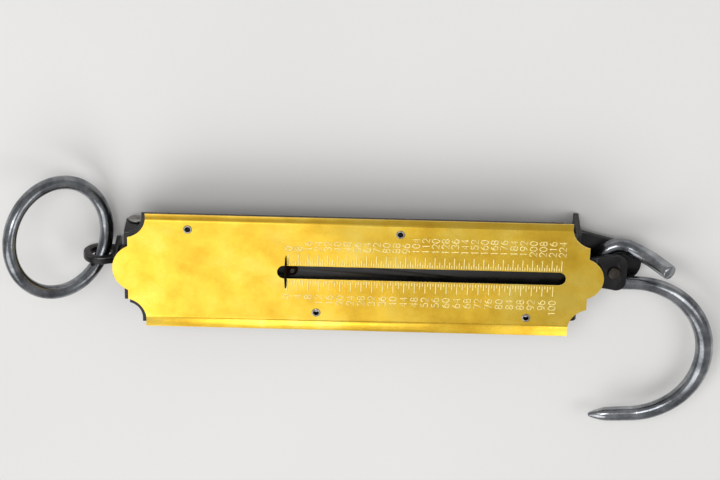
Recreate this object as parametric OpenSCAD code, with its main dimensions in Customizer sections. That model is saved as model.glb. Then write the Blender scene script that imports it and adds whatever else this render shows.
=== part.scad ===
// Brass-faced spring balance with two springs, a carrying ring and a load hook.
// It lies on its back: X runs from the ring to the hook, Y is up the face and Z comes out of it.

/* [Face] */
// Length of the brass face over its two rounded lobes
face_length = 250.2; // [246:0.2:256]
// Width of the brass face
face_width = 63.4; // [60:0.2:66]
// Thickness of the brass sheet
face_thick = 0.8; // [0.6:0.1:1.2]
// Width of the sloping strip along each long edge
strip_width = 4.3; // [3:0.1:6]
// How far each strip rises towards the front
strip_rise = 2; // [0.5:0.1:3]
// Distance between the corners of the straight long edges
straight_length = 216; // [205:0.5:218]
// Distance between the notches beside the two lobes
notch_length = 234.4; // [230:0.2:238]
// Half width of the shoulder that each corner curve runs into
shoulder_half = 17.2; // [15:0.1:19]
// Half width of the lobe at the ring end
ring_lobe_half = 12.4; // [10:0.1:14]
// Half width of the lobe at the hook end
hook_lobe_half = 11; // [9:0.1:13]

/* [Scale slot] */
// Width of the slot in the face
slot_width = 7.3; // [6.5:0.1:8.5]
// Ring end of the slot, from the middle of the face
slot_start = -41.2; // [-43:0.1:-40]
// Hook end of the slot, from the middle of the face
slot_end = 105.8; // [104:0.1:107]

/* [Face rivets] */
// Outer diameter of the rolled rivet rim
rivet_rim_d = 4.6; // [4:0.1:5.4]
// Bore of the tubular rivets
rivet_bore_d = 2.6; // [2:0.1:3]
// Shank diameter of the tubular rivets
rivet_shank_d = 3.4; // [3.2:0.1:3.8]
// Rivets beside the middle, from the middle of the face
rivet_near = 21; // [16:0.5:26]
// Rivets near the ends, from the middle of the face
rivet_far = 86.6; // [80:0.2:92]
// Height of the rivet rows from the centre line
rivet_row = 22.7; // [20:0.1:24]

/* [Frame] */
// Depth of the body from the front of the face to the back edges
body_depth = 30; // [29:0.5:33]
// Thickness of the steel frame plate
frame_thick = 2; // [1.6:0.1:2.4]
// How far the frame stays inside the face along the long edges
frame_inset = 1.2; // [1:0.1:3]
// Thickness of the bottom flange
flange_thick = 2.5; // [2:0.1:3]
// Width of the bottom flange
flange_width = 48.5; // [44:0.5:50]
// Outer face of the bottom flange, from the middle of the face
flange_x = 112.5; // [111:0.1:113]
// Width of the tongue that is bent back at the ring end
tongue_width = 12; // [11:0.5:16]
// Outer face of the tongue, from the middle of the face
tongue_x = 125; // [124:0.1:125.4]
// Outer bend radius of the flange and the tongue
bend_radius = 3.2; // [2.6:0.1:4]

/* [Springs] */
// Wire diameter
wire_d = 2.8; // [2.4:0.1:2.9]
// Outside diameter of each spring
spring_od = 19; // [18:0.2:19.2]
// Distance between the two spring axes
spring_pitch = 22; // [21.6:0.2:23]
// Height of the spring axes above the back edges
spring_z = 12.5; // [12:0.1:13]
// Free run between two turns
turn_gap = 0.5; // [0.45:0.05:1]
// Bend radius where the wire leaves the last turn
hook_bend = 2.8; // [2.4:0.1:3.2]
// Straight run between that bend and the end loop
hook_run = 1.4; // [1.2:0.1:1.8]

/* [Ring end] */
// Diameter of the cross pin that the springs hang on
top_pin_d = 6; // [5:0.1:6.4]
// Cross pin, from the middle of the face
top_pin_x = -114; // [-115:0.1:-113.5]
// Sheet thickness of the bracket
bracket_thick = 3; // [2.5:0.1:3.5]
// Width of the bracket over its cheeks
bracket_width = 38; // [36.6:0.2:40]
// Length of the bracket along the face
bracket_length = 10.4; // [10:0.2:11.6]
// Thickness of the ring lug
lug_thick = 3.5; // [3:0.1:3.8]
// Radius of the lug's eye end
lug_eye_r = 9.3; // [8.8:0.1:10]
// Eye of the lug, from the middle of the face
lug_eye_x = -132; // [-133.5:0.1:-131]
// Height of the eye above the back edges
lug_eye_z = 14; // [13:0.1:15]
// Radius of the hole in the eye
lug_hole_r = 5.8; // [5.7:0.1:6]

/* [Ring] */
// Outside diameter of the ring
ring_od = 64.2; // [62:0.2:70]
// Rod diameter of the ring
ring_rod_d = 7; // [6.4:0.1:7.4]
// How far the ring is lifted at rest
ring_lift = 38; // [10:1:45]
// How far the ring is slid round through its eye at rest
ring_slide = 32; // [0:1:33]
// How far the ring is rolled in its eye at rest
ring_roll = 8; // [0:1:10]

/* [Draw gear] */
// Width of the front draw bar
bar_width = 16; // [14:0.5:16.5]
// Thickness of the draw bar and the draw plate
bar_thick = 3; // [2.5:0.1:3.2]
// Width of the draw plate
plate_width = 34; // [33:0.5:36]
// Ring end of the draw plate, from the middle of the face
plate_start = -44.6; // [-45.5:0.1:-44]
// Holes for the spring loops, from the middle of the face
loop_x = -40; // [-40.4:0.1:-39.6]
// Height of the draw plate's underside above the back edges
plate_z = 6.5; // [6:0.1:7]
// Length of the block that joins bar and plate
block_length = 10; // [9:0.5:10.5]
// Zero mark, from the middle of the face
scale_zero = -36.8; // [-38:0.1:-36]

/* [Pointer] */
// Length of the pointer blade across the slot
pointer_span = 17.4; // [15:0.2:20]
// Sheet thickness of the pointer
pointer_thick = 1.2; // [0.8:0.1:1.4]
// Width of the pointer where it rises through the slot
pointer_neck = 5.4; // [4.5:0.1:5.8]

/* [Hook] */
// Rod diameter of the hook at its eye
eye_rod_d = 8; // [7.4:0.1:8.2]
// Rod diameter at the shank, where it is drawn thinner
shank_rod_d = 7; // [6:0.1:7.6]
// Rod diameter at the bow, where it is upset thicker
bow_rod_d = 9.4; // [8.4:0.1:10]
// Centre-line radius of the hook's eye
hook_eye_r = 10.5; // [10:0.1:10.8]
// Centre-line radius of the bow
bow_r = 38.7; // [36:0.1:41]
// Middle of the bow, beyond the hook pin
bow_ahead = 12; // [11:0.1:15]
// Straight length of the hook's point
point_length = 19.6; // [16:0.1:24]
// Diameter of the hook pin
hook_pin_d = 5.4; // [5:0.1:5.6]
// Hook pin, from the middle of the face
hook_pin_x = 131; // [130.6:0.1:132]
// Height of the hook's middle plane above the back edges
hook_z = 14; // [13.8:0.1:14.2]
// Radius of the rounded end of the draw plate
plate_end_r = 10.9; // [10:0.1:12]

/* [Hidden] */
$fn = 96;
clear = 0.2;
overlap = 12;
running = 0.08;
touch = 0.01;

face_z = body_depth;
face_back = face_z - face_thick;
frame_z = face_back - frame_thick;
bar_top = frame_z - 0.3;
bar_z = bar_top - bar_thick;
plate_top = plate_z + bar_thick;
seat_z = spring_z - bar_thick / 2;
seat_top = seat_z + bar_thick;

straight_half = straight_length / 2;
notch_half = notch_length / 2;
face_half = face_length / 2;
frame_half = face_width / 2 - frame_inset;

coil_r = (spring_od - wire_d) / 2;
lower_apex = loop_x - 0.5;
upper_apex = top_pin_x - top_pin_d / 2 - wire_d / 2 - 0.1;
coil_start = upper_apex + coil_r + hook_run + hook_bend;
coil_end = lower_apex - coil_r - hook_run - hook_bend;
lead = asin(hook_bend / coil_r);
turns = floor((coil_end - coil_start) / (wire_d + turn_gap));

ear_gap_half = eye_rod_d / 2 + 0.7;
ear_z = hook_z + ear_gap_half;
ear_top = ear_z + bar_thick;
crank_start = flange_x + 1.5;
crank_end = crank_start + 7;
bar_end = hook_pin_x + 6.4;
plate_end_x = hook_pin_x + 4;

eye_offset = hook_eye_r - eye_rod_d / 2 - hook_pin_d / 2 - clear;
eye_side = 22;
eye_x = hook_pin_x + eye_offset * cos(eye_side);
eye_y = eye_offset * sin(eye_side);
bow_x = hook_pin_x + bow_ahead;
bow_y = eye_y - hook_eye_r - bow_r;
tail_side = 67;
tail_step = [20, -5.6, 16.8];
tail_sag = 2.6;

ring_r = (ring_od - ring_rod_d) / 2;
lug_slant = acos(cos(ring_slide) * cos(ring_roll));
lug_shift = lug_hole_r - ring_rod_d / 2 / cos(lug_slant) - lug_thick / 2 * tan(lug_slant) - 0.22;
ring_along = ring_r * cos(ring_slide);
ring_aside = ring_r * sin(ring_slide);

// The box of the whole balance, to put the origin under its middle
ring_mid_x = lug_eye_x + (lug_shift - ring_along) * cos(ring_lift)
    - ring_aside * sin(ring_roll) * sin(ring_lift);
ring_lean = sin(ring_lift) * cos(ring_roll);
box_left = ring_mid_x - ring_r * sqrt(1 - ring_lean * ring_lean) - ring_rod_d / 2;
box_right = bow_x + bow_r + bow_rod_d / 2;
box_top = (ring_aside + ring_r) * cos(ring_roll) + ring_rod_d / 2;
box_low = bow_y - bow_r - bow_rod_d / 2;
shift_x = (box_left + box_right) / 2;
shift_y = (box_top + box_low) / 2;

// Vectors and swept tubes

function unit(v) = v / norm(v);

function reversed(list) = [for (i = [len(list) - 1 : -1 : 0]) list[i]];

function heading(p, i) =
    i == 0 ? unit(p[1] - p[0])
    : i == len(p) - 1 ? unit(p[i] - p[i - 1])
    : unit(unit(p[i + 1] - p[i]) + unit(p[i] - p[i - 1]));

function squared(u, t) = unit(u - (u * t) * t);

function carried_sides(p, side) = [
    for (
        i = 0, u = squared(side, heading(p, 0));
        i < len(p);
        i = i + 1, u = i < len(p) ? squared(u, heading(p, i)) : u
    ) u
];

module tube(path, radii, sides, side) {
    across = carried_sides(path, side);
    corners = [
        for (i = [0 : len(path) - 1], k = [0 : sides - 1])
            let (a = 360 * k / sides, t = heading(path, i))
            path[i] + radii[i] * (cos(a) * across[i] + sin(a) * cross(t, across[i]))
    ];
    last = (len(path) - 1) * sides;
    walls = [
        for (i = [0 : len(path) - 2], k = [0 : sides - 1])
            let (a = i * sides + k, b = i * sides + (k + 1) % sides)
            each [[a, a + sides, b], [b, a + sides, b + sides]]
    ];
    start_cap = [for (k = [1 : sides - 2]) [0, k, k + 1]];
    end_cap = [for (k = [1 : sides - 2]) [last, last + k + 1, last + k]];
    polyhedron(points = corners, faces = concat(walls, start_cap, end_cap), convexity = 10);
}

// Plan shapes and small helpers

module placed() {
    translate([-shift_x, -shift_y, 0]) children();
}

module side_profile(width) {
    translate([0, width / 2, 0]) rotate([90, 0, 0]) linear_extrude(width) children();
}

module both_sides() {
    children();
    mirror([0, 1, 0]) children();
}

// One end of the face: straight edge, hollow corner curve, notch and round lobe
module end_outline(corner, notch, tip, lobe_half, half_width, shoulder) {
    depth = tip - notch;
    lobe_r = (lobe_half * lobe_half + depth * depth) / (2 * depth);
    hollow_r = (half_width - shoulder + notch - corner) / 2;
    difference() {
        translate([-overlap, -half_width]) square([notch + overlap, 2 * half_width]);
        both_sides_flat() translate([corner + hollow_r, shoulder + hollow_r]) circle(hollow_r);
        both_sides_flat() translate([corner + hollow_r, shoulder]) square([notch, half_width]);
        both_sides_flat() translate([corner, shoulder + hollow_r]) square([notch, half_width]);
    }
    intersection() {
        translate([tip - lobe_r, 0]) circle(lobe_r);
        translate([notch - 1, -half_width]) square([tip, 2 * half_width]);
    }
}

module both_sides_flat() {
    children();
    mirror([0, 1]) children();
}

module face_blank(height) {
    linear_extrude(height)
        end_outline(straight_half, notch_half, face_half, hook_lobe_half, face_width / 2, shoulder_half);
    mirror([1, 0, 0]) linear_extrude(height)
        end_outline(straight_half, notch_half, face_half, ring_lobe_half, face_width / 2, shoulder_half);
}

module slot_outline(width, start, end) {
    for (x = [start + width / 2, end - width / 2]) translate([x, 0]) circle(d = width);
    translate([start + width / 2, -width / 2]) square([end - start - width, width]);
}

module rivet_places() {
    for (p = [[-rivet_far, rivet_row], [rivet_near, rivet_row], [-rivet_near, -rivet_row], [rivet_far, -rivet_row]])
        translate([p[0], p[1], 0]) children();
}

// Brass face: a flat floor with a strip that slopes forward along each long edge
module face_section() {
    half = face_width / 2;
    inner = half - strip_width;
    polygon([
        [-half, strip_rise], [-inner, 0], [inner, 0], [half, strip_rise],
        [half, strip_rise + face_thick], [inner, face_thick], [-inner, face_thick],
        [-half, strip_rise + face_thick]
    ]);
}

module face_plate() {
    color([0.86, 0.68, 0.22]) placed() difference() {
        intersection() {
            translate([-face_half, 0, face_back]) rotate([90, 0, 90]) linear_extrude(face_length)
                face_section();
            union() face_blank(face_z + strip_rise + 1);
        }
        translate([0, 0, face_back - 1]) linear_extrude(face_thick + 2)
            slot_outline(slot_width, slot_start, slot_end);
        rivet_places() translate([0, 0, face_back - 1])
            cylinder(d = rivet_shank_d + 0.2, h = face_thick + 2);
    }
}

// Tubular rivets with a rolled rim in front and a flare behind
module face_rivets() {
    rim_r = rivet_rim_d / 2;
    bore_r = rivet_bore_d / 2;
    shank_r = rivet_shank_d / 2;
    rim_h = 0.7;
    roll_r = (rim_r - bore_r) / 2;
    color([0.78, 0.78, 0.76]) placed() rivet_places() rotate_extrude() {
        translate([bore_r, frame_z - 0.6]) square([shank_r - bore_r, face_z + rim_h / 2 - frame_z + 0.6]);
        translate([bore_r, frame_z - 0.6]) square([rim_r - bore_r, 0.6]);
        intersection() {
            translate([bore_r + roll_r, face_z]) circle(roll_r);
            translate([0, face_z]) square([rim_r, rim_h]);
        }
    }
}

// Steel frame: a plate behind the face, a flange bent back at the hook end, a tongue at the ring end
module frame_outline() {
    intersection() {
        mirror([1, 0]) end_outline(
            straight_half + 1.9, notch_half - 0.8, tongue_x, tongue_width / 2, frame_half, shoulder_half + 2.4
        );
        translate([-tongue_x + bend_radius, -frame_half]) square([tongue_x + bend_radius, 2 * frame_half]);
    }
    translate([-tongue_x + bend_radius, -tongue_width / 2]) square([2 * overlap, tongue_width]);
    frame_hook_end();
}

module frame_hook_end() {
    run = flange_x - bend_radius;
    corner_x = straight_half - 1;
    difference() {
        translate([0, -frame_half]) square([run, 2 * frame_half]);
        both_sides_flat() translate([run, frame_half]) circle(frame_half - flange_width / 2);
        both_sides_flat() translate([run, flange_width / 2]) square([1, frame_half]);
    }
    translate([corner_x, -flange_width / 2]) square([run - corner_x, flange_width]);
}

module bend_profile(thick, far) {
    translate([far - bend_radius, face_back - bend_radius]) intersection() {
        difference() {
            circle(bend_radius);
            circle(bend_radius - thick);
        }
        square(bend_radius);
    }
    translate([far - thick, 0]) square([thick, face_back - bend_radius]);
}

module frame_plate_section() {
    translate([0, 0, frame_z]) linear_extrude(frame_thick) frame_outline();
}

module flange_shape() {
    corner = 3;
    slot_bar_w = bar_width + 2 * clear;
    slot_plate_w = plate_width + 2 * clear;
    difference() {
        side_profile(flange_width) union() {
            bend_profile(flange_thick, flange_x);
            translate([flange_x - bend_radius - 0.6, face_back - flange_thick]) square([0.6 + touch, flange_thick]);
        }
        both_sides() translate([0, flange_width / 2 - corner, 0]) difference() {
            translate([flange_x - flange_thick - 1, 0, -1]) cube([flange_thick + 2, corner + 1, corner + 1]);
            translate([flange_x - flange_thick - 2, 0, corner]) rotate([0, 90, 0])
                cylinder(r = corner, h = flange_thick + 4);
        }
        translate([flange_x - bend_radius - 2, -slot_bar_w / 2, bar_z - clear])
            cube([bend_radius + 3, slot_bar_w, bar_thick + 2 * clear]);
        translate([flange_x - flange_thick - 1, -slot_plate_w / 2, plate_z - clear])
            cube([flange_thick + 2, slot_plate_w, bar_thick + 2 * clear]);
    }
}

module tongue_shape() {
    slot_w = lug_thick + 0.6;
    end_r = tongue_width / 2;
    difference() {
        mirror([1, 0, 0]) side_profile(tongue_width) bend_profile(frame_thick, tongue_x);
        both_sides() difference() {
            translate([-tongue_x - 1, 0, -1]) cube([frame_thick + 2, end_r + 1, end_r + 1]);
            translate([-tongue_x - 2, 0, end_r]) rotate([0, 90, 0]) cylinder(r = end_r, h = frame_thick + 4);
        }
        translate([-tongue_x - 1, -slot_w / 2, lug_eye_z - lug_eye_r])
            cube([frame_thick + bend_radius, slot_w, 2 * lug_eye_r]);
    }
}

module frame() {
    color([0.13, 0.13, 0.14]) placed() difference() {
        union() {
            frame_plate_section();
            flange_shape();
            tongue_shape();
        }
        translate([0, 0, frame_z - 1]) linear_extrude(frame_thick + 2)
            slot_outline(slot_width + 0.8, slot_start - 0.8, slot_end + 2.8);
        rivet_places() translate([0, 0, frame_z - 1]) cylinder(d = rivet_shank_d + 0.2, h = frame_thick + 2);
        bracket_rivet_places() translate([0, 0, frame_z - 1]) cylinder(d = 4.1, h = frame_thick + 2);
    }
}

// Bracket riveted behind the frame: it carries the cross pin between two cheeks
module bracket_rivet_places() {
    for (y = [-9, 9]) translate([top_pin_x, y, 0]) children();
}

module top_bracket() {
    cheek_low = spring_z - 5.5;
    color([0.15, 0.15, 0.16]) placed() difference() {
        union() {
            translate([top_pin_x - bracket_length / 2, -bracket_width / 2, frame_z - bracket_thick])
                cube([bracket_length, bracket_width, bracket_thick]);
            both_sides() translate([0, bracket_width / 2 - bracket_thick, 0]) {
                translate([top_pin_x - bracket_length / 2, 0, spring_z])
                    cube([bracket_length, bracket_thick, frame_z - spring_z - touch]);
                translate([top_pin_x, 0, spring_z]) rotate([-90, 0, 0])
                    cylinder(r = bracket_length / 2, h = bracket_thick);
            }
        }
        translate([top_pin_x, 0, spring_z]) rotate([90, 0, 0])
            cylinder(d = top_pin_d + 2 * running, h = bracket_width + 2, center = true);
        bracket_rivet_places() translate([0, 0, frame_z - bracket_thick - 1])
            cylinder(d = 4.1, h = bracket_thick + 2);
    }
}

module bracket_rivets() {
    color([0.2, 0.2, 0.21]) placed() bracket_rivet_places() {
        translate([0, 0, frame_z - bracket_thick]) cylinder(d = 4, h = bracket_thick + frame_thick);
        translate([0, 0, frame_z - bracket_thick]) intersection() {
            translate([0, 0, 3.2]) sphere(r = 4.8);
            translate([0, 0, -1.6]) cylinder(r = 3.6, h = 1.6);
        }
    }
}

// Cross pin with two peened heads
module top_pin() {
    head_r = top_pin_d / 2 + 1.2;
    color([0.5, 0.5, 0.5]) placed() translate([top_pin_x, 0, spring_z]) rotate([90, 0, 0]) {
        cylinder(d = top_pin_d, h = bracket_width, center = true);
        for (s = [0, 1]) mirror([0, 0, s]) translate([0, 0, bracket_width / 2]) cylinder(r = head_r, h = 1);
    }
}

// Short tubes that keep the spring loops off the ring lug
module pin_spacers() {
    from = lug_thick / 2 + clear;
    to = spring_pitch / 2 - wire_d / 2 - clear;
    color([0.45, 0.45, 0.44]) placed() both_sides() translate([top_pin_x, to, spring_z]) rotate([90, 0, 0])
        difference() {
            cylinder(d = top_pin_d + 2.6, h = to - from);
            translate([0, 0, -1]) cylinder(d = top_pin_d + 2 * running, h = to - from + 2);
        }
}

// Lug: a plate on edge with an eye for the ring outside and a bore for the cross pin inside
module lug_disc(x, z, r, width) {
    translate([x, 0, z]) rotate([90, 0, 0]) cylinder(r = r, h = width, center = true);
}

module ring_lug() {
    inner_r = top_pin_d / 2 + 3.2;
    lean = 4;
    color([0.16, 0.16, 0.17]) placed() difference() {
        union() {
            lug_disc(lug_eye_x, lug_eye_z, lug_eye_r, lug_thick);
            lug_disc(top_pin_x, spring_z, inner_r, lug_thick);
            side_profile(lug_thick) polygon([
                [lug_eye_x + lean, lug_eye_z + lug_eye_r - 1], [top_pin_x, spring_z + inner_r - 0.05],
                [top_pin_x, spring_z - inner_r + 0.05], [lug_eye_x + lean, lug_eye_z - lug_eye_r + 1]
            ]);
        }
        lug_disc(lug_eye_x, lug_eye_z, lug_hole_r, lug_thick + 2);
        lug_disc(top_pin_x, spring_z, top_pin_d / 2 + running, lug_thick + 2);
    }
}

// Carrying ring, lifted a little and slid round through its eye
module ring() {
    color([0.68, 0.69, 0.7]) placed()
        translate([lug_eye_x + lug_shift * cos(ring_lift), 0, lug_eye_z - lug_shift * sin(ring_lift)])
        rotate([0, ring_lift, 0]) rotate([-ring_roll, 0, 0])
        translate([-ring_along, ring_aside, 0])
        rotate_extrude() translate([ring_r, 0]) circle(d = ring_rod_d, $fn = 48);
}

// One spring: end loop, coils, end loop, as one run of wire along X
function end_loop(x, way) = concat(
    [
        for (q = [30 : 30 : 60])
            [
                x + way * hook_bend * (1 - cos(q)),
                way * hook_bend * (1 - sin(q)),
                coil_r * cos(lead) + coil_r * (1 - cos(lead)) * q / 90
            ]
    ],
    [[x + way * hook_bend, 0, coil_r]],
    [
        for (q = [0 : 22.5 : 180])
            [x + way * (hook_bend + hook_run + coil_r * sin(q)), 0, coil_r * cos(q)]
    ],
    [[x + way * (hook_bend + hook_run - wire_d), 0, -coil_r]]
);

function spring_path() =
    let (
        first = 90 + lead,
        last = 90 - lead + 360 * turns,
        steps = ceil((last - first) / 45)
    )
    concat(
        reversed(end_loop(coil_start, -1)),
        [
            for (i = [0 : steps])
                let (a = first + (last - first) * i / steps)
                [coil_start + (coil_end - coil_start) * i / steps, coil_r * cos(a), coil_r * sin(a)]
        ],
        end_loop(coil_end, 1)
    );

wire_path = spring_path();
least_gap = min([
    for (i = [0 : len(wire_path) - 6], j = [i + 5 : min(i + 24, len(wire_path) - 1)])
        norm(wire_path[i] - wire_path[j])
]) - wire_d;
echo(spring_turns = turns, least_gap_mm = least_gap);

module spring_at(y) {
    color([0.35, 0.35, 0.36]) placed() translate([0, y, spring_z])
        tube(wire_path, [for (p = wire_path) wire_d / 2], 6, [0, 1, 0]);
}

module spring_left() {
    spring_at(spring_pitch / 2);
}

module spring_right() {
    spring_at(-spring_pitch / 2);
}

// Draw plate behind: holes for the two springs, a step down, and the rear ear of the hook's fork
module draw_plate_blank(height) {
    half = plate_width / 2;
    lean = 3.4;
    edge = sqrt(plate_end_r * plate_end_r - lean * lean);
    translate([plate_start, -half, 0]) cube([crank_start - plate_start, plate_width, height]);
    linear_extrude(height) polygon([
        [crank_start - 1, half], [crank_start, half], [plate_end_x + lean, edge],
        [plate_end_x + lean, -edge], [crank_start, -half], [crank_start - 1, -half]
    ]);
    translate([plate_end_x, 0, 0]) cylinder(r = plate_end_r, h = height);
}

module draw_plate() {
    step_start = plate_start + block_length + 0.4;
    step_end = step_start + 4;
    top = [
        [plate_start - 1, seat_top], [step_start, seat_top],
        [step_end, plate_top], [plate_end_x + plate_end_r + 1, plate_top]
    ];
    low = [
        [plate_end_x + plate_end_r + 1, plate_z], [step_end - 0.8, plate_z],
        [step_start - 0.8, seat_z], [plate_start - 1, seat_z]
    ];
    color([0.17, 0.17, 0.18]) placed() difference() {
        intersection() {
            side_profile(plate_width + 2) polygon(concat(top, low));
            union() draw_plate_blank(seat_top + 1);
        }
        both_sides() translate([loop_x, spring_pitch / 2, seat_z - 1])
            cylinder(d = wire_d + 1.8, h = bar_thick + 2);
        slider_rivet_places() translate([0, 0, seat_z - 1]) cylinder(d = 3.1, h = bar_thick + 2);
        translate([hook_pin_x, 0, plate_z - 1]) cylinder(d = hook_pin_d + 2 * running, h = bar_thick + 2);
    }
}

// Draw bar in front: it shows through the slot, and steps back outside to the front ear
module draw_bar_blank(height) {
    corner = 5;
    half = bar_width / 2;
    wide = half + 2;
    reach = bar_end - corner;
    translate([plate_start, -half, 0]) cube([crank_end - plate_start, bar_width, height]);
    linear_extrude(height) polygon([
        [crank_end - 1, half], [crank_end, half], [reach, wide],
        [reach, -wide], [crank_end, -half], [crank_end - 1, -half]
    ]);
    translate([reach - 1, corner - wide, 0]) cube([corner + 1, 2 * wide - 2 * corner, height]);
    for (s = [-1, 1]) translate([reach, s * (wide - corner), 0]) cylinder(r = corner, h = height);
}

module draw_bar() {
    color([0.14, 0.14, 0.15]) placed() difference() {
        intersection() {
            side_profile(bar_width + 8) polygon([
                [plate_start, bar_top], [crank_start + 0.8, bar_top], [crank_end + 0.8, ear_top],
                [bar_end + 1, ear_top], [bar_end + 1, ear_z], [crank_end, ear_z],
                [crank_start, bar_z], [plate_start, bar_z]
            ]);
            union() draw_bar_blank(bar_top + 1);
        }
        slider_rivet_places() translate([0, 0, bar_z - 1]) cylinder(d = 3.1, h = bar_thick + 2);
        translate([pointer_rivet_x, 0, bar_z - 1]) cylinder(d = 2.1, h = bar_thick + 2);
        translate([hook_pin_x, 0, ear_z - 1]) cylinder(d = hook_pin_d + 2 * running, h = bar_thick + 2);
    }
}

// Block that joins the draw bar and the draw plate, with its two rivets
module slider_rivet_places() {
    for (y = [-4.8, 4.8]) translate([plate_start + block_length / 2, y, 0]) children();
}

module slider_block() {
    color([0.2, 0.2, 0.2]) placed() difference() {
        translate([plate_start, -bar_width / 2, seat_top]) cube([block_length, bar_width, bar_z - seat_top]);
        slider_rivet_places() translate([0, 0, seat_top - 1]) cylinder(d = 3.1, h = bar_z - seat_top + 2);
    }
}

module slider_rivets() {
    color([0.3, 0.3, 0.3]) placed() slider_rivet_places() {
        translate([0, 0, seat_z]) cylinder(d = 3, h = bar_top - seat_z);
        translate([0, 0, seat_z - 1.4]) cylinder(d1 = 3.4, d2 = 5.6, h = 1.4);
    }
}

// Pointer: a foot on the draw bar and a blade that stands up through the slot
pointer_x = scale_zero;
pointer_rivet_x = pointer_x + 3.2;

module pointer() {
    half = pointer_span / 2;
    neck = pointer_neck / 2;
    low = face_z + 0.5;
    top = face_z + 2.6;
    color([0.3, 0.22, 0.16]) placed() difference() {
        union() {
            translate([pointer_x - pointer_thick / 2, -neck, bar_top])
                cube([pointer_rivet_x - pointer_x + pointer_thick / 2, pointer_neck, 1]);
            translate([pointer_rivet_x, 0, bar_top]) cylinder(d = pointer_neck, h = 1);
            translate([pointer_x - pointer_thick / 2, 0, 0]) rotate([90, 0, 90]) linear_extrude(pointer_thick)
                polygon([
                    [-neck, bar_top], [neck, bar_top], [neck, low], [half, low + 0.1],
                    [half, low + 0.5], [neck, top], [-neck, top], [-half, low + 0.5], [-half, low + 0.1],
                    [-neck, low]
                ]);
        }
        translate([pointer_rivet_x, 0, bar_top - 1]) cylinder(d = 2.1, h = 3);
    }
}

module pointer_rivet() {
    color([0.75, 0.75, 0.73]) placed() translate([pointer_rivet_x, 0, 0]) {
        translate([0, 0, bar_z]) cylinder(d = 2, h = bar_thick + 1);
        translate([0, 0, bar_top + 1]) cylinder(d1 = 3.4, d2 = 2.2, h = 0.7);
    }
}

// Pin of the hook's fork, with a flat head in front and a peened head on a washer behind
module hook_pin() {
    washer_low = plate_z - 1.2;
    color([0.42, 0.42, 0.42]) placed() translate([hook_pin_x, 0, 0]) {
        translate([0, 0, washer_low]) cylinder(d = hook_pin_d, h = ear_top - washer_low);
        translate([0, 0, ear_top]) cylinder(d1 = hook_pin_d + 1.8, d2 = hook_pin_d + 0.6, h = 1.1);
        translate([0, 0, washer_low - 1.3]) cylinder(d1 = hook_pin_d + 0.8, d2 = hook_pin_d + 2.4, h = 1.3);
    }
}

module hook_washer() {
    color([0.55, 0.55, 0.54]) placed() translate([hook_pin_x, 0, plate_z - 1.2]) difference() {
        cylinder(d = hook_pin_d + 5.6, h = 1.2);
        translate([0, 0, -1]) cylinder(d = hook_pin_d + 2 * running, h = 4);
    }
}

// Hook: tail, open eye round the pin, shank, bow and point, bent from one rod
function swell(a) = shank_rod_d + (bow_rod_d - shank_rod_d) * pow(sin(a), 1.2);

function arc_points(x, y, r, from, to, count) = [
    for (i = [0 : count])
        let (a = from + (to - from) * i / count)
        [x + r * cos(a), y + r * sin(a), 0]
];

module hook() {
    tail_foot = [eye_x + hook_eye_r * cos(tail_side), eye_y + hook_eye_r * sin(tail_side), 0];
    tail = [for (s = [1, 0.62, 0.3, 0.1]) tail_foot + tail_step * s + [0, 0, -tail_sag * sin(180 * s)]];
    eye = arc_points(eye_x, eye_y, hook_eye_r, tail_side, 270, 14);
    bow = arc_points(bow_x, bow_y, bow_r, 90, -90, 24);
    point = [for (s = [0.3, 0.56, 0.8, 1]) [bow_x - point_length * s, bow_y - bow_r - 1.2 * s, 0]];
    path = concat(tail, eye, bow, point);
    widths = concat(
        [for (p = tail) eye_rod_d],
        [for (i = [0 : 14]) eye_rod_d + (shank_rod_d - eye_rod_d) * max(0, i - 9) / 5],
        [for (i = [0 : 24]) swell(min(90, 180 * i / 24)) - max(0, i - 14) * 0.17],
        [bow_rod_d - 1.9, bow_rod_d - 2, bow_rod_d * 0.52, bow_rod_d * 0.16]
    );
    color([0.66, 0.67, 0.69]) placed() translate([0, 0, hook_z])
        tube(path, widths / 2, 18, [0, 0, 1]);
}

face_plate();
face_rivets();
frame();
top_bracket();
bracket_rivets();
top_pin();
pin_spacers();
ring_lug();
ring();
spring_left();
spring_right();
draw_plate();
draw_bar();
slider_block();
slider_rivets();
pointer();
pointer_rivet();
hook_pin();
hook_washer();
hook();
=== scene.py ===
# Looks for a brass-faced spring balance that lies on its back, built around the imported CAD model.
# Lengths in the piece code are millimetres, from the middle of the brass face and up from the table.
# place() turns them to metres.

import math

import bmesh
import bpy
from mathutils import Matrix, Vector


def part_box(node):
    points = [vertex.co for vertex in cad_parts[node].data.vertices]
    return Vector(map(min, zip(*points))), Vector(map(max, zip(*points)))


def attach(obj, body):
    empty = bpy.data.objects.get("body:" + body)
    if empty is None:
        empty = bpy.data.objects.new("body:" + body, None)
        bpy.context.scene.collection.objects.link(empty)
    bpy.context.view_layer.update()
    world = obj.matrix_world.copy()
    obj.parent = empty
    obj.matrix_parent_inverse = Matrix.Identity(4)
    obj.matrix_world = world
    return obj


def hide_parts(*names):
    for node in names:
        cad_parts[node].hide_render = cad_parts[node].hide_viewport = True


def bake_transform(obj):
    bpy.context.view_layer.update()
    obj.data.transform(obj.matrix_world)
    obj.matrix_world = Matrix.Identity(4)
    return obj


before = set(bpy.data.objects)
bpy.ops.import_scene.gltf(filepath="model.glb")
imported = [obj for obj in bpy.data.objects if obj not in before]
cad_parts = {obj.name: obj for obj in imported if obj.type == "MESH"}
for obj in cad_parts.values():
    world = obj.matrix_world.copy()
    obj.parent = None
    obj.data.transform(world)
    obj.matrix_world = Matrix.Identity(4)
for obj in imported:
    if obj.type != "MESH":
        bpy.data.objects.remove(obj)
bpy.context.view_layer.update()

mm = 0.001
faceLow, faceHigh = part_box("face_plate")
faceMiddle = (faceLow + faceHigh) / 2
faceFront = 30.0


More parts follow.
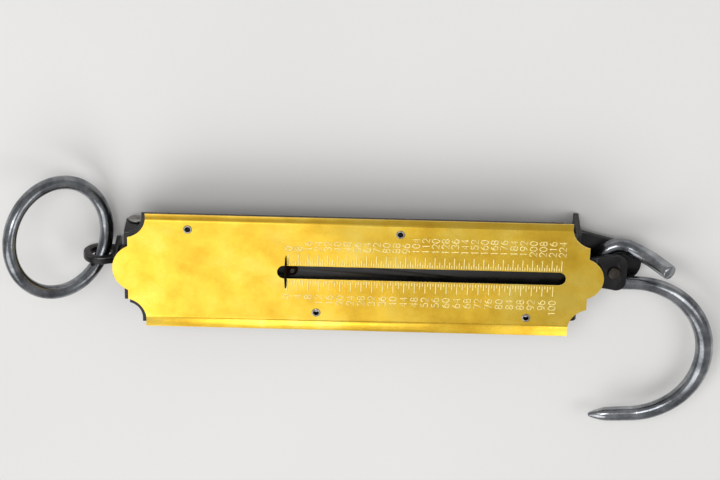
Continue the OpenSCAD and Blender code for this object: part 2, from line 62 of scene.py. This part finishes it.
def place(point):
    x, y, z = point
    return Vector((faceMiddle.x + x * mm, faceMiddle.y + y * mm, z * mm))


# Meshes

def newObject(name, points, faces, materials, body, smoothAngle=35):
    mesh = bpy.data.meshes.new(name)
    mesh.from_pydata([place(p) for p in points], [], faces)
    return finishObject(name, mesh, materials, body, smoothAngle)


def finishObject(name, mesh, materials, body, smoothAngle=35):
    work = bmesh.new()
    work.from_mesh(mesh)
    bmesh.ops.recalc_face_normals(work, faces=work.faces)
    work.to_mesh(mesh)
    work.free()
    mesh.polygons.foreach_set("use_smooth", [True] * len(mesh.polygons))
    mesh.set_sharp_from_angle(angle=math.radians(smoothAngle))
    thing = bpy.data.objects.new(name, mesh)
    bpy.context.collection.objects.link(thing)
    for material in materials:
        mesh.materials.append(material)
    if body:
        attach(thing, body)
    return thing


def sweepPoints(path, radii, sides, across):
    # A tube along the path; across is where each ring's first point lies
    points = []
    across = Vector(across)
    for i, spot in enumerate(path):
        before = path[max(i - 1, 0)]
        after = path[min(i + 1, len(path) - 1)]
        along = (after - before).normalized()
        across = (across - across.dot(along) * along).normalized()
        up = along.cross(across)
        for k in range(sides):
            a = 2 * math.pi * k / sides
            points.append(spot + radii[i] * (math.cos(a) * across + math.sin(a) * up))
    return points


def sweepFaces(count, sides):
    faces = []
    for i in range(count - 1):
        for k in range(sides):
            a, b = i * sides + k, i * sides + (k + 1) % sides
            faces.append((a, b, b + sides, a + sides))
    last = (count - 1) * sides
    return faces + [tuple(range(sides)), tuple(range(last, last + sides))]


def lathe(profile, centre, steps, first=0):
    # Turns a closed profile of (radius, height); first is the number of points made before
    points, faces = [], []
    count = len(profile)
    for i in range(steps):
        a = 2 * math.pi * i / steps
        for r, h in profile:
            points.append((centre[0] + r * math.cos(a), centre[1] + r * math.sin(a), centre[2] + h))
    for i in range(steps):
        here, there = first + i * count, first + (i + 1) % steps * count
        for k in range(count):
            after = (k + 1) % count
            faces.append((here + k, here + after, there + after, there + k))
    return points, faces


def arc(x, y, r, start, end, count):
    angles = [math.radians(start + (end - start) * i / count) for i in range(count + 1)]
    return [Vector((x + r * math.cos(a), y + r * math.sin(a), 0)) for a in angles]


def oval(x, y, rx, ry, start, end, count=8):
    # Part of an oval as plain (x, y) pairs
    angles = [math.radians(start + (end - start) * i / count) for i in range(count + 1)]
    return [(x + rx * math.cos(a), y + ry * math.sin(a)) for a in angles]


def roundEdges(thing, width, angle, miter):
    # Bakes a bevel on the edges sharper than the angle; its strips take the second material
    rounding = thing.modifiers.new("rounding", "BEVEL")
    rounding.width = width * mm
    rounding.segments = 2
    rounding.limit_method = "ANGLE"
    rounding.angle_limit = math.radians(angle)
    rounding.material = 1
    rounding.miter_outer = miter
    thing.data = bpy.data.meshes.new_from_object(thing.evaluated_get(bpy.context.evaluated_depsgraph_get()))
    thing.modifiers.clear()
    return thing.data


def soften(node, body, materials, width):
    # The CAD solid with its flat areas made whole and its sharp edges rounded
    mesh = bpy.data.meshes.new(node + "_soft")
    work = bmesh.new()
    work.from_mesh(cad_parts[node].data)
    bmesh.ops.remove_doubles(work, verts=work.verts, dist=0.002 * mm)
    bmesh.ops.dissolve_limit(work, angle_limit=math.radians(0.6), verts=work.verts, edges=work.edges)
    work.to_mesh(mesh)
    work.free()
    mesh.materials.clear()
    thing = finishObject(node + "_soft", mesh, materials, None)
    baked = roundEdges(thing, width, 35, "MITER_ARC")
    baked.polygons.foreach_set("use_smooth", [True] * len(baked.polygons))
    baked.set_sharp_from_angle(angle=math.radians(50))
    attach(thing, body)
    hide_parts(node)
    return thing


# Materials

def linear(code):
    # sRGB hex to the linear colour that shaders use
    channels = [int(code[i : i + 2], 16) / 255 for i in (0, 2, 4)]
    return [c / 12.92 if c <= 0.04045 else ((c + 0.055) / 1.055) ** 2.4 for c in channels] + [1]


def addNode(tree, kind, settings=None, links=None):
    # settings are the node's inputs, or its properties where no input has that name
    node = tree.nodes.new("ShaderNode" + kind)
    for key, value in (settings or {}).items():
        if key in node.inputs:
            node.inputs[key].default_value = value
        else:
            setattr(node, key, value)
    for key, source in (links or {}).items():
        tree.links.new(source, node.inputs[key])
    return node


def startMaterial(name, settings):
    material = bpy.data.materials.new(name)
    material.use_nodes = True
    tree = material.node_tree
    shader = tree.nodes["Principled BSDF"]
    for key, value in settings.items():
        shader.inputs[key].default_value = value
    where = addNode(tree, "TexCoord").outputs["Object"]
    return material, tree, shader, where


def ramp(tree, source, stops):
    node = addNode(tree, "ValToRGB", links={"Fac": source})
    line = node.color_ramp
    while len(line.elements) < len(stops):
        line.elements.new(0.5)
    for element, (spot, colour) in zip(line.elements, stops):
        element.position = spot
        element.color = colour
    return node.outputs["Color"]


def grey(value):
    return [value, value, value, 1]


def paint(tree, shader, source, stops):
    colour = ramp(tree, source, [(spot, linear(code)) for spot, code in stops])
    tree.links.new(colour, shader.inputs["Base Color"])


def drive(tree, shader, socket, source, stops):
    level = ramp(tree, source, [(spot, grey(value)) for spot, value in stops])
    tree.links.new(level, shader.inputs[socket])


def noise(tree, where, size, detail=4, rough=0.55, stretch=(1, 1, 1)):
    # size is the width of one blotch in millimetres
    scaled = addNode(tree, "Mapping", {"Scale": [s / (size * mm) for s in stretch]}, {"Vector": where})
    return addNode(
        tree, "TexNoise", {"Scale": 1.0, "Detail": detail, "Roughness": rough},
        {"Vector": scaled.outputs["Vector"]},
    ).outputs["Fac"]


def bump(tree, shader, height, depth, under=None):
    # depth is the height of the pattern in millimetres; under is a bump that this one lies on
    links = {"Height": height}
    if under is not None:
        links["Normal"] = under
    node = addNode(tree, "Bump", {"Distance": depth * mm}, links)
    tree.links.new(node.outputs["Normal"], shader.inputs["Normal"])
    return node.outputs["Normal"]


def stampedBrass():
    # Thin sheet brass, rolled and polished, then stamped: broad soft waves and a fine grain
    material, tree, shader, where = startMaterial("stamped sheet brass", {"Metallic": 1.0})
    waves = noise(tree, where, 38, detail=2, rough=0.4, stretch=(1, 1.6, 1))
    grain = noise(tree, where, 0.9, detail=6, rough=0.75)
    tarnish = noise(tree, where, 22, detail=5, rough=0.6)
    paint(tree, shader, tarnish, [(0.3, "DFAF34"), (0.5, "F0C644"), (0.7, "F7D660")])
    drive(tree, shader, "Roughness", grain, [(0.25, 0.24), (0.75, 0.4)])
    soft = bump(tree, shader, waves, 0.9)
    bump(tree, shader, grain, 0.02, under=soft)
    return material


def paleBrassHighlight():
    # Paler brass for the tops of the stamped marks and the rounded sheet edges: partly rubbed bright by
    # thumbs, partly a painted highlight for the light they catch
    material, tree, shader, where = startMaterial("pale brass relief and painted highlight", {"Metallic": 0.9, "Roughness": 0.4})
    paint(tree, shader, noise(tree, where, 5, detail=3), [(0.3, "F3D87C"), (0.7, "FBE9A6")])
    return material


def blackEnamel():
    # Thin black stove enamel over sheet steel: slight orange peel, dust that greys it
    material, tree, shader, where = startMaterial("black stove enamel", {"Specular IOR Level": 0.4})
    dust = noise(tree, where, 9, detail=8, rough=0.7)
    peel = noise(tree, where, 1.2, detail=2)
    paint(tree, shader, dust, [(0.4, "060607"), (0.6, "101012"), (0.85, "2C2A29")])
    drive(tree, shader, "Roughness", dust, [(0.3, 0.26), (0.8, 0.55)])
    bump(tree, shader, peel, 0.02)
    return material


def wornEdge():
    # Enamel rubbed through to bare steel along the edges, in patches
    material, tree, shader, where = startMaterial("enamel worn to steel", {"Roughness": 0.36})
    patches = noise(tree, where, 6, detail=6, rough=0.7)
    paint(tree, shader, patches, [(0.45, "151516"), (0.6, "8C8A86"), (0.8, "BDBAB4")])
    drive(tree, shader, "Metallic", patches, [(0.47, 0), (0.6, 1)])
    return material


def nickelPlate():
    # Dull nickel over drawn rod: small dark pits and grey stains
    material, tree, shader, where = startMaterial("nickel plated rod", {"Metallic": 1.0})
    stain = noise(tree, where, 14, detail=7, rough=0.65)
    pits = noise(tree, where, 1.1, detail=3, rough=0.6)
    paint(tree, shader, stain, [(0.32, "505358"), (0.52, "8B8E92"), (0.75, "C0C2C5")])
    drive(tree, shader, "Roughness", stain, [(0.3, 0.28), (0.7, 0.13)])
    bump(tree, shader, pits, 0.03)
    return material


def bareSteel(name, dark, light, rough):
    # Turned or drawn steel with an oily film; the grain is half a millimetre wide
    material, tree, shader, where = startMaterial(name, {"Metallic": 1.0})
    film = noise(tree, where, 4, detail=6, rough=0.65)
    paint(tree, shader, film, [(0.3, dark), (0.7, light)])
    drive(tree, shader, "Roughness", film, [(0.3, rough + 0.12), (0.7, rough - 0.06)])
    bump(tree, shader, noise(tree, where, 0.5, detail=2), 0.008)
    return material


def paleFloor():
    # Matt studio board
    material, tree, shader, where = startMaterial("matt studio board", {"Roughness": 0.8})
    paint(tree, shader, noise(tree, where, 300, detail=2), [(0.3, "EBEAE8"), (0.7, "F1F0EE")])
    return material


brass = stampedBrass()
# Pale brass for the marks and the rounded edges: rubbed tops and a painted highlight
relief = paleBrassHighlight()
enamel = blackEnamel()
worn = wornEdge()
nickel = nickelPlate()
pinSteel = bareSteel("turned steel", "6A6865", "B4B2AE", 0.3)
rivetTin = bareSteel("tinned rivet steel", "7E7C78", "BCBAB4", 0.28)
pinDull = bareSteel("dulled pin steel", "2C2826", "5A544E", 0.42)
springWire = bareSteel("oil tempered wire", "242425", "5A5A5C", 0.32)
brownSteel = bareSteel("browned sheet steel", "0F0806", "281813", 0.42)
# Dark steel for the rivet bores: painted shade standing in for the shadow inside the holes
boreShade = bareSteel("rivet bore painted shade", "1A1412", "3A2E28", 0.6)
print("materials", len(bpy.data.materials))

# Brass face: the sheet, its folded strips and the stamped marks

faceSize = {
    "straight": 108.0, "notch": 117.2, "tip": 125.1, "half": 31.7, "shoulder": 17.2,
    "ringLobe": 12.4, "hookLobe": 11.0, "thick": 0.8, "strip": 4.3, "rise": 2.0, "foldRadius": 0.7,
    "rivetHole": 1.8, "edge": 0.2,
}
slotSize = {"width": 7.3, "start": -41.2, "end": 105.8}
rivetPlaces = [(-86.6, 22.7), (21.0, 22.7), (-21.0, -22.7), (86.6, -22.7)]


def halfOutline(lobeHalf):
    # Right-hand end from the top corner round the lobe to the bottom corner: a hollow arc on each side and
    # the lobe between them, whose radius follows from its half width and depth
    f = faceSize
    hollow = (f["half"] - f["shoulder"] + f["notch"] - f["straight"]) / 2
    x, y = f["straight"] + hollow, f["shoulder"] + hollow
    last = 360 - math.degrees(math.acos((f["notch"] - x) / hollow))
    depth = f["tip"] - f["notch"]
    lobe = (lobeHalf**2 + depth**2) / (2 * depth)
    side = math.degrees(math.atan2(lobeHalf, f["notch"] - f["tip"] + lobe))
    upper = [Vector((f["straight"], f["half"], 0))] + arc(x, y, hollow, 180, last, 20)
    lower = [Vector((p.x, -p.y, 0)) for p in reversed(upper)]
    return upper + arc(f["tip"] - lobe, 0, lobe, side, -side, 32) + lower


def flatSheet(outlines, thick):
    # A filled plate in millimetres with its front at height 0
    curve = bpy.data.curves.new("outline", "CURVE")
    curve.dimensions = "2D"
    curve.fill_mode = "BOTH"
    curve.extrude = thick / 2
    for points in outlines:
        line = curve.splines.new("POLY")
        line.points.add(len(points) - 1)
        for spot, p in zip(line.points, points):
            spot.co = (p.x, p.y, 0, 1)
        line.use_cyclic_u = True
    helper = bpy.data.objects.new("outline", curve)
    bpy.context.collection.objects.link(helper)
    mesh = bpy.data.meshes.new_from_object(helper.evaluated_get(bpy.context.evaluated_depsgraph_get()))
    bpy.data.objects.remove(helper)
    mesh.transform(Matrix.Translation((0, 0, -thick / 2)))
    return mesh


def foldHeight(y):
    # How far the sheet rises at this distance from the centre line
    f = faceSize
    over = abs(y) - (f["half"] - f["strip"])
    slope, r = f["rise"] / f["strip"], f["foldRadius"]
    if over <= -r:
        return 0
    return slope * over if over >= r else slope * (over + r) ** 2 / (4 * r)


def faceSheet():
    f = faceSize
    right = halfOutline(f["hookLobe"])
    left = [Vector((-p.x, p.y, 0)) for p in reversed(halfOutline(f["ringLobe"]))]
    r = slotSize["width"] / 2
    slotLine = arc(slotSize["end"] - r, 0, r, -90, 90, 24) + arc(slotSize["start"] + r, 0, r, 90, 270, 24)
    holes = [arc(x, y, f["rivetHole"], 0, 352, 24) for x, y in rivetPlaces]
    mesh = flatSheet([right + left, slotLine] + holes, f["thick"])
    work = bmesh.new()
    work.from_mesh(mesh)
    bmesh.ops.remove_doubles(work, verts=work.verts, dist=0.001)
    # Cuts along the two folds, so that the sheet can bend there
    fold = f["half"] - f["strip"]
    for line in [fold + f["foldRadius"] * k / 2 for k in (-2, -1, 0, 1, 2)]:
        for y in (line, -line):
            everything = list(work.verts) + list(work.edges) + list(work.faces)
            bmesh.ops.bisect_plane(work, geom=everything, plane_co=(0, y, 0), plane_no=(0, 1, 0))
    for v in work.verts:
        v.co.z += foldHeight(v.co.y)
    bmesh.ops.dissolve_limit(work, angle_limit=math.radians(0.5), verts=work.verts, edges=work.edges)
    work.to_mesh(mesh)
    work.free()
    for v in mesh.vertices:
        v.co = place((v.co.x, v.co.y, faceFront + v.co.z))
    # The rounded edges take the second material, the pale relief brass, which paints a highlight along them
    sheet = finishObject("face_sheet", mesh, [brass, relief], None, 30)
    baked = roundEdges(sheet, f["edge"], 60, "MITER_SHARP")
    baked.set_sharp_from_angle(angle=math.radians(40))
    # The level parts stay flat-shaded, so that rounded edges don't bend their reflections
    for polygon in baked.polygons:
        polygon.use_smooth = abs(polygon.normal.z) < 0.9995
    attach(sheet, "body")
    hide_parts("face_plate")


# Strokes of each numeral in a box 1 high and digitWidth wide
digitWidth = 0.62
digitStrokes = {
    "0": [oval(0.31, 0.5, 0.31, 0.5, 0, 360, 16)],
    "1": [[(0.1, 0.76), (0.33, 1), (0.33, 0)]],
    "2": [oval(0.31, 0.7, 0.3, 0.3, 165, -30) + [(0, 0), (0.62, 0)]],
    "3": [oval(0.28, 0.75, 0.3, 0.25, 150, -80) + oval(0.28, 0.26, 0.33, 0.26, 80, -150)],
    "4": [[(0.47, 0), (0.47, 1), (0, 0.3), (0.62, 0.3)]],
    "5": [[(0.56, 1), (0.12, 1), (0.07, 0.56)] + oval(0.29, 0.32, 0.33, 0.32, 120, -150)],
    "6": [oval(0.31, 0.31, 0.31, 0.31, 0, 360, 14), oval(0.62, 0.4, 0.62, 0.6, 175, 105, 6)],
    "7": [[(0, 1), (0.62, 1), (0.2, 0)]],
    "8": [oval(0.31, 0.74, 0.26, 0.26, 0, 360, 12), oval(0.31, 0.25, 0.31, 0.25, 0, 360, 12)],
    "9": [oval(0.31, 0.69, 0.31, 0.31, 0, 360, 14), oval(0, 0.6, 0.62, 0.6, -5, -75, 6)],
}
scaleRows = [
    {"zero": -35.3, "step": 4.954 / 4, "divisions": 112, "unit": 2, "way": 1, "tick": 4.3, "label": 12.3},
    {"zero": -36.2, "step": 5.43 / 4, "divisions": 100, "unit": 1, "way": -1, "tick": 4.4, "label": 12.8},
]
markSize = {
    "long": 5.8, "middle": 3.4, "short": 1.7, "width": 0.68, "height": 0.13, "sink": 0.03,
    "digit": 3.6, "advance": 3.08,
}


def ridge(line, points, faces):
    # A low rounded ridge along a line on the face
    w, h, sink = markSize["width"] / 2, markSize["height"], markSize["sink"]
    section = [(-w, -sink), (-0.6 * w, 0.75 * h), (0, h), (0.6 * w, 0.75 * h), (w, -sink)]
    first, count = len(points), len(section)
    for i, (x, y) in enumerate(line):
        x0, y0 = line[max(i - 1, 0)]
        x1, y1 = line[min(i + 1, len(line) - 1)]
        run = math.hypot(x1 - x0, y1 - y0)
        nx, ny = -(y1 - y0) / run, (x1 - x0) / run
        points.extend((x + nx * s, y + ny * s, faceFront + z) for s, z in section)
    for i in range(len(line) - 1):
        for k in range(count - 1):
            a = first + i * count + k
            faces.append((a, a + 1, a + count + 1, a + count))
    last = first + (len(line) - 1) * count
    faces.extend([tuple(range(first, first + count)), tuple(range(last, last + count))])


def scaleMarks():
    points, faces = [], []
    size, advance = markSize["digit"], markSize["advance"]
    for row in scaleRows:
        way = row["way"]
        for k in range(row["divisions"] + 1):
            x = row["zero"] + row["step"] * k
            kind = "long" if k % 4 == 0 else "middle" if k % 2 == 0 else "short"
            ridge([(x, way * row["tick"]), (x, way * (row["tick"] + markSize[kind]))], points, faces)
            if kind != "long":
                continue
            word = str(k * row["unit"])
            start = row["label"]
            if way < 0:
                start = -row["label"] - len(word) * advance + advance - digitWidth * size
            for i, letter in enumerate(word):
                for stroke in digitStrokes[letter]:
                    line = [(x + size / 2 - v * size, start + advance * i + u * size) for u, v in stroke]
                    ridge(line, points, faces)
    # The marks take the pale relief brass: rubbed tops and a painted highlight
    newObject("scale_marks", points, faces, [relief], "body", 60)


faceSheet()
scaleMarks()
print("brass face")

# Tubular rivets: bore, rolled rim, shank and clinched foot, as radius and height over the face

rivetProfile = [(1.3, -3.35)] + oval(1.8, 0.02, 0.5, 0.5, 175, -10, 10) + [
    (1.7, -0.05), (1.7, -2.8), (2.25, -2.85), (2.3, -3.1), (2.0, -3.4),
]


def faceRivets():
    points, faces = [], []
    for x, y in rivetPlaces:
        more, rings = lathe(rivetProfile, (x, y, faceFront), 40, len(points))
        points.extend(more)
        faces.extend(rings)
    rivets = newObject("tubular_rivets", points, faces, [rivetTin, boreShade], "body", 40)
    count = len(rivetProfile)
    for polygon in rivets.data.polygons:
        # The bore is the strip between the profile's first two points; its dark steel is painted shade for the
        # shadow inside the hole
        if {0, 1} == {v % count for v in polygon.vertices}:
            polygon.material_index = 1
    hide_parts("face_rivets")


faceRivets()

# Sheet and bar pieces: node, body, material, material of the rounded edges, slot, width of the rounding

softPieces = [
    ("frame", "body", enamel, worn, "black_enamel", 0.3),
    ("top_bracket", "body", enamel, worn, "black_enamel", 0.3),
    ("ring_lug", "body", enamel, worn, "black_enamel", 0.3),
    ("draw_plate", "slider", enamel, worn, "black_enamel", 0.3),
    ("draw_bar", "slider", enamel, worn, "black_enamel", 0.3),
    ("slider_block", "slider", enamel, worn, "black_enamel", 0.3),
    ("bracket_rivets", "body", enamel, worn, "black_enamel", 0.15),
    ("slider_rivets", "slider", enamel, worn, "black_enamel", 0.15),
    ("top_pin", "body", pinSteel, pinSteel, "bright_steel", 0.2),
    ("pin_spacers", "body", pinSteel, pinSteel, "bright_steel", 0.2),
    ("hook_pin", "slider", pinDull, pinDull, "bright_steel", 0.2),
    ("hook_washer", "slider", pinSteel, pinSteel, "bright_steel", 0.2),
    ("pointer_rivet", "slider", pinDull, pinDull, "tinned_rivet", 0.12),
]
for node, body, metal, edge, slot, width in softPieces:
    soften(node, body, [metal, edge], width)
print("sheet and bar pieces")

pointerSize = {"edge": 0.12, "foot": 0.6, "bladeFrom": 0.3, "wide": 1.35, "taper": 0.8}


def pointer():
    # Over the face the blade is widest in the middle and narrows towards both tips
    p = pointerSize
    blade = soften("pointer", "slider", [brownSteel, brownSteel], p["edge"])
    low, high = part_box("pointer")
    middle = (low.y + high.y) / 2
    half = (high.y - low.y) / 2
    front = low.x + p["foot"] * mm
    for v in blade.data.vertices:
        if v.co.z > (faceFront + p["bladeFrom"]) * mm:
            reach = abs(v.co.y - middle) / half
            v.co.x = front + (v.co.x - front) * (p["wide"] - p["taper"] * reach)


pointer()

# Carrying ring

ringSize = {
    "radius": 28.6, "rod": 7.0, "lift": 38, "slide": 32, "roll": 8,
    "eye": (-132.0, 0, 14.0), "hole": 5.8, "lug": 3.5, "gap": 0.22,
}


def carryingRing():
    # The ring hangs on the eye's edge: slid round through the eye, rolled about X, then lifted about Y
    s = ringSize
    slide, lift, roll = (math.radians(s[key]) for key in ("slide", "lift", "roll"))
    slant = math.acos(math.cos(slide) * math.cos(roll))
    shift = s["hole"] - s["rod"] / 2 / math.cos(slant) - s["lug"] / 2 * math.tan(slant) - s["gap"]
    profile = [(s["radius"] + p[0], p[1]) for p in oval(0, 0, s["rod"] / 2, s["rod"] / 2, 0, 345, 23)]
    flat, faces = lathe(profile, (0, 0, 0), 144)
    turn = Matrix.Rotation(lift, 4, "Y")
    rolled = Matrix.Rotation(-roll, 4, "X")
    centre = Vector((-s["radius"] * math.cos(slide), s["radius"] * math.sin(slide), 0))
    push = Vector((shift, 0, 0))
    points = [Vector(s["eye"]) + turn @ (push + rolled @ (Vector(p) + centre)) for p in flat]
    ring = newObject("carrying_ring", points, faces, [nickel], "ring")
    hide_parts("ring")


carryingRing()

# Load hook

# side is the direction from the pin to the eye and tailSide where the tail leaves the eye, both in degrees;
# thin is what the rod loses at each CAD step past the bow's 14th
hookSize = {
    "pin": 131.0, "level": 14.0, "eyeRod": 8.0, "shankRod": 7.0, "bowRod": 9.4, "eyeRadius": 10.5,
    "bowRadius": 38.7, "ahead": 12.0, "point": 19.6, "offset": 3.6, "side": 22, "tailSide": 67,
    "tail": (20.0, -5.6, 16.8), "sag": 2.6, "droop": 1.2, "thin": 0.17,
    # Share of the way along the tail or the point, and the rod's width there
    "tailRods": [(1, 6.9), (0.992, 7.6), (0.97, 8)] + [(0.9 - 0.1 * k, 8) for k in range(9)],
    "pointRods": [
        (0.1, 7.65), (0.2, 7.58), (0.3, 7.5), (0.42, 7.45), (0.52, 7.4), (0.58, 7.1), (0.66, 6.4),
        (0.75, 5.45), (0.84, 4.3), (0.92, 3.1), (0.97, 2.2), (0.99, 1.6), (1, 0.9),
    ],
}


def loadHook():
    # One rod: tail, open eye, shank, bow and point. The eye has three steps and the bow four for each
    # one of the CAD model, so i / 3 and i / 4 below count its steps.
    h = hookSize
    side, tailSide = math.radians(h["side"]), math.radians(h["tailSide"])
    eyeX, eyeY = h["pin"] + h["offset"] * math.cos(side), h["offset"] * math.sin(side)
    bowX, bowY = h["pin"] + h["ahead"], eyeY - h["eyeRadius"] - h["bowRadius"]
    eyeRadius, shankRod = h["eyeRadius"], h["shankRod"]
    foot = Vector((eyeX + eyeRadius * math.cos(tailSide), eyeY + eyeRadius * math.sin(tailSide), 0))
    path, wide = [], []
    for s, rod in h["tailRods"]:
        path.append(foot + Vector(h["tail"]) * s + Vector((0, 0, -h["sag"] * math.sin(math.pi * s))))
        wide.append(rod)
    for i, p in enumerate(arc(eyeX, eyeY, eyeRadius, h["tailSide"], 270, 42)):
        path.append(p)
        wide.append(h["eyeRod"] + (shankRod - h["eyeRod"]) * max(0, i / 3 - 9) / 5)
    path.extend(Vector((eyeX + (bowX - eyeX) * k / 4, eyeY - eyeRadius, 0)) for k in (1, 2, 3))
    wide.extend([shankRod] * 3)
    for i, p in enumerate(arc(bowX, bowY, h["bowRadius"], 90, -90, 96)):
        swell = math.sin(min(math.pi * i / 96, math.pi / 2)) ** 1.2
        path.append(p)
        wide.append(shankRod + (h["bowRod"] - shankRod) * swell - max(0, i / 4 - 14) * h["thin"])
    for s, rod in h["pointRods"]:
        path.append(Vector((bowX - h["point"] * s, bowY - h["bowRadius"] - h["droop"] * s, 0)))
        wide.append(rod)
    lifted = [p + Vector((0, 0, h["level"])) for p in path]
    points = sweepPoints(lifted, [w / 2 for w in wide], 36, (0, 0, 1))
    hook = newObject("load_hook", points, sweepFaces(len(path), 36), [nickel], "hook", 40)
    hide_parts("hook")


loadHook()
print("ring and hook")

# Draw springs

springSize = {
    "wire": 2.8, "outer": 19.0, "pitch": 22.0, "level": 12.5, "bend": 2.8, "run": 1.4, "gap": 0.5,
    "pinX": -114.0, "pinWidth": 6.0, "pinGap": 0.1, "holeX": -40.0, "holeGap": 0.5,
}


def endLoop(x, way):
    # From the last coil in a quarter bend to the middle plane, then half round to the hook's open end
    s = springSize
    r = (s["outer"] - s["wire"]) / 2
    lead = math.asin(s["bend"] / r)
    drop = r * (1 - math.cos(lead))
    spots = []
    for q in range(15, 90, 15):
        a = math.radians(q)
        height = r * math.cos(lead) + drop * q / 90
        spots.append((x + way * s["bend"] * (1 - math.cos(a)), way * s["bend"] * (1 - math.sin(a)), height))
    spots.append((x + way * s["bend"], 0, r))
    for i in range(25):
        a = math.pi * i / 24
        spots.append((x + way * (s["bend"] + s["run"] + r * math.sin(a)), 0, r * math.cos(a)))
    spots.append((x + way * (s["bend"] + s["run"] - s["wire"]), 0, -r))
    return [Vector(p) for p in spots]


def drawSprings():
    s = springSize
    r = (s["outer"] - s["wire"]) / 2
    start = s["pinX"] - s["pinWidth"] / 2 - s["wire"] / 2 - s["pinGap"] + r + s["run"] + s["bend"]
    end = s["holeX"] - s["holeGap"] - r - s["run"] - s["bend"]
    turns = math.floor((end - start) / (s["wire"] + s["gap"]))
    lead = math.degrees(math.asin(s["bend"] / r))
    first, last = 90 + lead, 90 - lead + 360 * turns
    steps = turns * 28
    coils = []
    for i in range(steps + 1):
        a = math.radians(first + (last - first) * i / steps)
        coils.append(Vector((start + (end - start) * i / steps, r * math.cos(a), r * math.sin(a))))
    path = list(reversed(endLoop(start, -1))) + coils + endLoop(end, 1)
    for name, way in [("spring_left", 1), ("spring_right", -1)]:
        moved = [p + Vector((0, way * s["pitch"] / 2, s["level"])) for p in path]
        points = sweepPoints(moved, [s["wire"] / 2] * len(path), 14, (0, 1, 0))
        faces = sweepFaces(len(path), 14)
        spring = newObject(name + "_wire", points, faces, [springWire], None, 50)
        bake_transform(spring)
        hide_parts(name)
    print("springs", turns, "turns")


drawSprings()

# Floor, light and camera

# The floor's half width and the softboxes' sizes are in metres. The camera's lean and roll are in degrees, its
# scale in pixels per millimetre, and middle is the pixel that the face's middle falls on.
studio = {"floorHalf": 4, "worldStrength": 0.4}
softboxes = {
    "key": {"spot": (-520, -540, 880), "aim": (-60, 0, 20), "size": (1.0, 0.9), "power": 4.6},
    "fill": {"spot": (640, 100, 800), "aim": (80, 0, 20), "size": (0.5, 0.5), "power": 1.6},
    "camera_side": {"spot": (-200, 440, 1050), "aim": (-60, 0, 20), "size": (0.5, 0.4), "power": 3.2},
}
view = {
    "lean": 26, "roll": 1.45, "distance": 1300, "scale": 1.966, "middle": (358, 274),
    "picture": (720, 480), "sensor": 36,
}


def studioFloor():
    mesh = bpy.data.meshes.new("studio_floor")
    half = studio["floorHalf"]
    corners = [(-half, -half, 0), (half, -half, 0), (half, half, 0), (-half, half, 0)]
    mesh.from_pydata(corners, [], [(0, 1, 2, 3)])
    mesh.materials.append(paleFloor())
    floor = bpy.data.objects.new("studio_floor", mesh)
    bpy.context.collection.objects.link(floor)


def softbox(name, box):
    light = bpy.data.lights.new(name, "AREA")
    light.shape = "RECTANGLE"
    light.size, light.size_y = box["size"]
    light.energy = box["power"]
    lamp = bpy.data.objects.new(name, light)
    bpy.context.collection.objects.link(lamp)
    lamp.location = place(box["spot"])
    lamp.rotation_euler = (place(box["aim"]) - place(box["spot"])).to_track_quat("-Z", "Y").to_euler()


def studioCamera():
    # Above the face and leaning towards +Y, rolled a little so that the hook end sits lower
    lean, roll = math.radians(view["lean"]), math.radians(view["roll"])
    distance, scale, (width, height) = view["distance"], view["scale"], view["picture"]
    ahead = Vector((0, -math.sin(lean), -math.cos(lean)))
    up = Vector((0, math.cos(lean), -math.sin(lean)))
    right = Vector((1, 0, 0))
    right, up = right * math.cos(roll) + up * math.sin(roll), up * math.cos(roll) - right * math.sin(roll)
    offset = right * (width / 2 - view["middle"][0]) / scale + up * (view["middle"][1] - height / 2) / scale
    camera = bpy.data.cameras.new("camera")
    camera.sensor_width = view["sensor"]
    camera.lens = view["sensor"] * scale * distance / width
    camera.clip_start = 0.01
    thing = bpy.data.objects.new("camera", camera)
    bpy.context.collection.objects.link(thing)
    turn = Matrix((right, up, -ahead)).transposed().to_4x4()
    spot = Vector((0, 0, faceFront)) - ahead * distance + offset
    thing.matrix_world = Matrix.Translation(place(spot)) @ turn
    bpy.context.scene.camera = thing


studioFloor()
for name, box in softboxes.items():
    softbox(name, box)
studioCamera()

world = bpy.data.worlds.new("studio")
world.use_nodes = True
background = world.node_tree.nodes["Background"]
background.inputs["Color"].default_value = grey(1)
background.inputs["Strength"].default_value = studio["worldStrength"]
bpy.context.scene.world = world
bpy.context.scene.view_settings.view_transform = "Standard"
